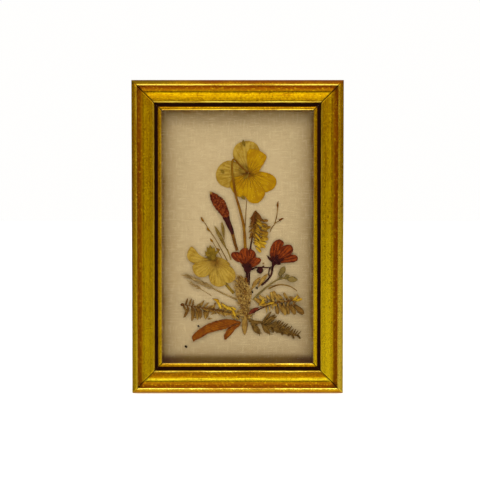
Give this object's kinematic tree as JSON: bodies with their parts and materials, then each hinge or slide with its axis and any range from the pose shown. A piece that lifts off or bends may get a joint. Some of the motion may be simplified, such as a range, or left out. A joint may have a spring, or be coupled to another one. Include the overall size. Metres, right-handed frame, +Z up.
{
  "type": "pressed flower frame",
  "caption": "Small gilded picture frame with pressed flowers, grasses and leaves laid on silk behind glass, hung by a sawtooth hanger.",
  "frame": {"origin": "middle notch of the sawtooth hanger, in the plane of the rails' back, where the wall nail passes", "axes": "+Z up the picture's height, +Y from the picture's front to the wall, +X to the right of a person facing the picture"},
  "size_m": [0.102, 0.0185, 0.151],
  "materials": {
    "gilt_wood": "satin",
    "picture_glass": "gloss",
    "silk": "satin",
    "card": "matte",
    "board": "matte",
    "steel": "satin",
    "hanger_brass": "satin",
    "pale_petal": "matte",
    "gold_petal": "matte",
    "brown_stem": "matte",
    "red_bud": "matte",
    "dark_stem": "matte",
    "vetch": "matte",
    "dry_stem": "matte",
    "olive_leaf": "matte",
    "green_stem": "matte",
    "red_petal": "matte",
    "black_stem": "matte",
    "grey_leaf": "matte",
    "ochre_leaf": "matte",
    "moss": "matte",
    "dry_grass": "matte",
    "orange_leaf": "matte",
    "dark_leaf": "matte",
    "dark_red_leaf": "matte"
  },
  "bodies": {
    "root": {"rail_top": "gilt_wood", "rail_bottom": "gilt_wood", "rail_left": "gilt_wood", "rail_right": "gilt_wood", "glass_pane": "picture_glass", "silk_pad": "silk", "mount_card": "card", "backing_board": "board", "brad_top": "steel", "brad_bottom": "steel", "brad_left": "steel", "brad_right": "steel", "sawtooth_hanger": "hanger_brass", "hanger_nail_left": "steel", "hanger_nail_right": "steel", "viola_petal_top": "pale_petal", "viola_petal_upper_right": "gold_petal", "viola_petal_left": "pale_petal", "viola_petal_right": "gold_petal", "viola_petal_bottom": "gold_petal", "viola_stem": "brown_stem", "bud_spike": "red_bud", "bud_stem": "dark_stem", "upper_vetch": "vetch", "left_vetch": "vetch", "right_vetch": "vetch", "seed_sprig_right": "dry_stem", "seed_sprig_left": "dry_stem", "seed_sprig_small": "dry_stem", "thin_stem": "dry_stem", "needle_leaves": "olive_leaf", "pale_petal_upper_left": "pale_petal", "pale_petal_lower_left": "pale_petal", "pale_petal_bottom": "pale_petal", "pale_petal_right": "pale_petal", "pale_petal_narrow": "pale_petal", "pale_viola_stem": "green_stem", "mid_flower_petal_1": "red_petal", "mid_flower_petal_2": "red_petal", "mid_flower_petal_3": "red_petal", "mid_flower_petal_4": "red_petal", "mid_flower_stem": "black_stem", "right_flower_petal_1": "red_petal", "right_flower_petal_2": "red_petal", "right_flower_petal_3": "red_petal", "right_flower_stem": "black_stem", "round_bud": "black_stem", "leafy_sprig": "grey_leaf", "leafy_sprig_tip": "grey_leaf", "leafy_sprig_branch": "dry_stem", "bract_lower": "ochre_leaf", "bract_upper": "ochre_leaf", "hairy_stem": "moss", "grass_head": "dry_grass", "grass_spikelet": "dry_grass", "orange_leaf_long": "orange_leaf", "orange_leaf_short": "orange_leaf", "tongue_leaf": "grey_leaf", "fern_leaf": "dark_leaf", "dark_red_leaf": "dark_red_leaf"}
  },
  "joints": []
}
